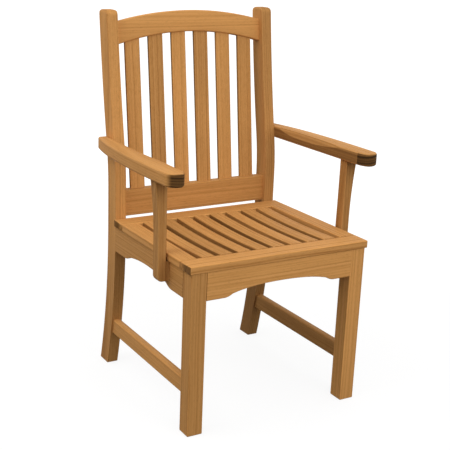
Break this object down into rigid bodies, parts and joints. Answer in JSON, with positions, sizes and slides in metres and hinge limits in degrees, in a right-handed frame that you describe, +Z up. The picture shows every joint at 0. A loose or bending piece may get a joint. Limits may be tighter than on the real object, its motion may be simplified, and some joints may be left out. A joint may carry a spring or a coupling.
{
  "type": "garden armchair",
  "caption": "Fixed slatted armchair in wood: bowed crest rail over upright back slats, dished slatted seat, and curved arms outside the posts on lapped supports.",
  "frame": {"origin": "on the floor, under the middle of the chair's bounding box", "axes": "+Z up, +X to the right seen from in front, -Y the way the sitter faces"},
  "size_m": [0.6078, 0.5368, 0.983],
  "materials": {
    "teak": "oiled golden teak, satin, fine straight grain",
    "teak_slats": "oiled golden teak, satin, a little darker and varied from slat to slat",
    "dowel_wood": "plain pale hardwood",
    "screw_steel": "plain stainless steel"
  },
  "bodies": {
    "root": {"front_leg_right": "teak", "front_leg_left": "teak", "rear_post_right": "teak", "rear_post_left": "teak", "front_apron": "teak", "rear_apron": "teak", "side_apron_right": "teak", "side_apron_left": "teak", "side_stretcher_right": "teak", "side_stretcher_left": "teak", "lower_back_rail": "teak", "crest_rail": "teak", "back_slat_1": "teak_slats", "back_slat_2": "teak_slats", "back_slat_3": "teak_slats", "back_slat_4": "teak_slats", "back_slat_5": "teak_slats", "back_slat_6": "teak_slats", "seat_board_front": "teak", "seat_board_rear": "teak", "seat_board_side_right": "teak", "seat_board_side_left": "teak", "seat_slat_1": "teak_slats", "seat_slat_2": "teak_slats", "seat_slat_3": "teak_slats", "seat_slat_4": "teak_slats", "seat_slat_5": "teak_slats", "seat_slat_6": "teak_slats", "seat_slat_7": "teak_slats", "seat_slat_8": "teak_slats", "arm_support_right": "teak", "arm_support_left": "teak", "arm_right": "teak", "arm_left": "teak", "seat_dowel_rear_right": "dowel_wood", "seat_dowel_rear_left": "dowel_wood", "seat_dowel_side_right": "dowel_wood", "seat_dowel_side_left": "dowel_wood", "arm_dowel_1_right": "dowel_wood", "arm_dowel_1_left": "dowel_wood", "arm_dowel_2_right": "dowel_wood", "arm_dowel_2_left": "dowel_wood", "support_screw_1_right": "screw_steel", "support_screw_1_left": "screw_steel", "support_screw_2_right": "screw_steel", "support_screw_2_left": "screw_steel"}
  },
  "joints": []
}
